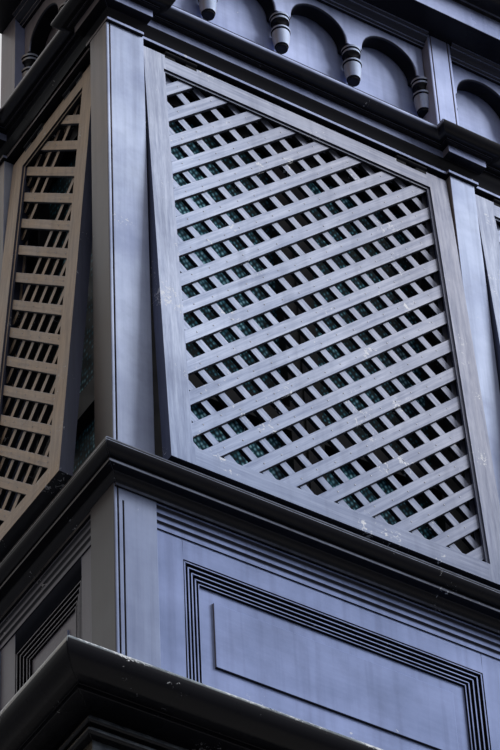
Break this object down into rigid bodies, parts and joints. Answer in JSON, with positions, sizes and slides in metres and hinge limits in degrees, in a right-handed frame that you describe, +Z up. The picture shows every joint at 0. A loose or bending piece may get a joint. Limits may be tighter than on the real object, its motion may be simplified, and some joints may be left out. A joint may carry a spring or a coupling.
{
  "type": "enclosed balcony with lattice shutters",
  "caption": "Projecting enclosed timber balcony with propped lattice shutters, panelled parapet, ledge and arcaded frieze.",
  "frame": {"origin": "middle of the wall ledger's back face, where the balcony is bolted to the wall", "axes": "+Z up, +X along the wall, +Y into the wall, so the street is towards -Y"},
  "size_m": [3.406, 0.827, 3.014],
  "materials": {
    "grey_painted_timber": "aged matt paint",
    "sash_paint": "dark aged paint",
    "dark_timber": "weathered boards",
    "obscure_glass": "patterned",
    "painted_iron": "painted iron"
  },
  "bodies": {
    "balcony": {"apron_mouldings": "grey_painted_timber", "arcade_boards": "grey_painted_timber", "base_beads": "grey_painted_timber", "base_fascia": "grey_painted_timber", "base_ledge": "grey_painted_timber", "base_soffit": "dark_timber", "bed_mouldings": "grey_painted_timber", "ceiling_boards": "dark_timber", "corner_posts": "grey_painted_timber", "cornice": "grey_painted_timber", "dado_frames": "grey_painted_timber", "dado_panels": "grey_painted_timber", "entablature_front": "grey_painted_timber", "entablature_left": "grey_painted_timber", "entablature_right": "grey_painted_timber", "fixed_hinges": "painted_iron", "floor_boards": "dark_timber", "frieze_panels": "grey_painted_timber", "frieze_pilasters": "grey_painted_timber", "front_posts": "grey_painted_timber", "panel_mouldings": "grey_painted_timber", "pendants": "grey_painted_timber", "roof_boards": "dark_timber", "sill_front": "grey_painted_timber", "sill_left": "grey_painted_timber", "sill_right": "grey_painted_timber", "wall_ledger": "dark_timber", "wall_posts": "grey_painted_timber", "window_glass": "obscure_glass", "window_sashes": "sash_paint"},
    "shutter_front_left": {"hinges_front_left": "painted_iron", "lattice_front_left": "grey_painted_timber", "shutter_frame_front_left": "grey_painted_timber"},
    "shutter_front_middle": {"hinges_front_middle": "painted_iron", "lattice_front_middle": "grey_painted_timber", "shutter_frame_front_middle": "grey_painted_timber"},
    "shutter_front_right": {"hinges_front_right": "painted_iron", "lattice_front_right": "grey_painted_timber", "shutter_frame_front_right": "grey_painted_timber"},
    "shutter_left": {"hinges_left": "painted_iron", "lattice_left": "grey_painted_timber", "shutter_frame_left": "grey_painted_timber"},
    "shutter_right": {"hinges_right": "painted_iron", "lattice_right": "grey_painted_timber", "shutter_frame_right": "grey_painted_timber"}
  },
  "joints": [
    {"name": "shutter_front_left_hinge", "type": "hinge", "parent": "balcony", "child": "shutter_front_left", "pos_m": [-0.916, -0.544, 2.224], "axis": [-1, 0, 0], "range_deg": [-2.75, 37.25]},
    {"name": "shutter_front_middle_hinge", "type": "hinge", "parent": "balcony", "child": "shutter_front_middle", "pos_m": [0, -0.544, 2.224], "axis": [-1, 0, 0], "range_deg": [-2.75, 37.25]},
    {"name": "shutter_front_right_hinge", "type": "hinge", "parent": "balcony", "child": "shutter_front_right", "pos_m": [0.916, -0.544, 2.224], "axis": [-1, 0, 0], "range_deg": [-2.75, 37.25]},
    {"name": "shutter_left_hinge", "type": "hinge", "parent": "balcony", "child": "shutter_left", "pos_m": [-1.4095, -0.2665, 2.224], "axis": [0, 1, 0], "range_deg": [-4.15, 35.85]},
    {"name": "shutter_right_hinge", "type": "hinge", "parent": "balcony", "child": "shutter_right", "pos_m": [1.4095, -0.2665, 2.224], "axis": [0, -1, 0], "range_deg": [-4.15, 35.85]}
  ]
}
